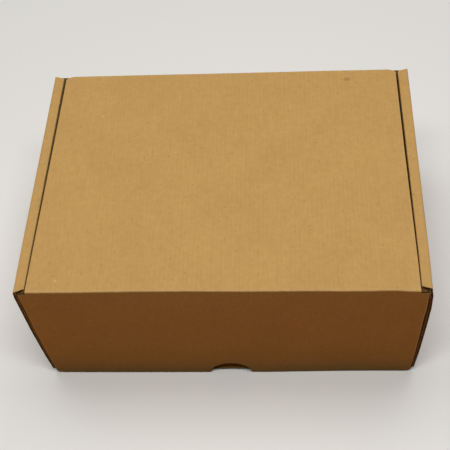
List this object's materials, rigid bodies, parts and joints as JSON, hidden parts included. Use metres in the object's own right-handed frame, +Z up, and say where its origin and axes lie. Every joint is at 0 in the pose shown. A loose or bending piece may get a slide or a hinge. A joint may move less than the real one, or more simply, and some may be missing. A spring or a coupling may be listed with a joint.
{
  "type": "cardboard mailing box",
  "caption": "Closed mailing box folded from one corrugated sheet: flat lid between rolled side walls, front flap with a thumb notch that swings up.",
  "frame": {"origin": "centre of the underside, on the surface that the box stands on", "axes": "+X along the width, to the right of a viewer who faces the front flap; +Y from the front flap to the lid's crease; +Z up"},
  "size_m": [0.3, 0.216, 0.131],
  "materials": {
    "kraft_board": "matt kraft liner on thin corrugated board"
  },
  "bodies": {
    "box": {"folded_box": "kraft_board"},
    "front_flap": {"front_flap": "kraft_board"}
  },
  "joints": [
    {"name": "front_flap_hinge", "type": "hinge", "parent": "box", "child": "front_flap", "pos_m": [0, -0.1064, 0.1294], "axis": [-1, 0, 0], "range_deg": [0, 100]}
  ]
}
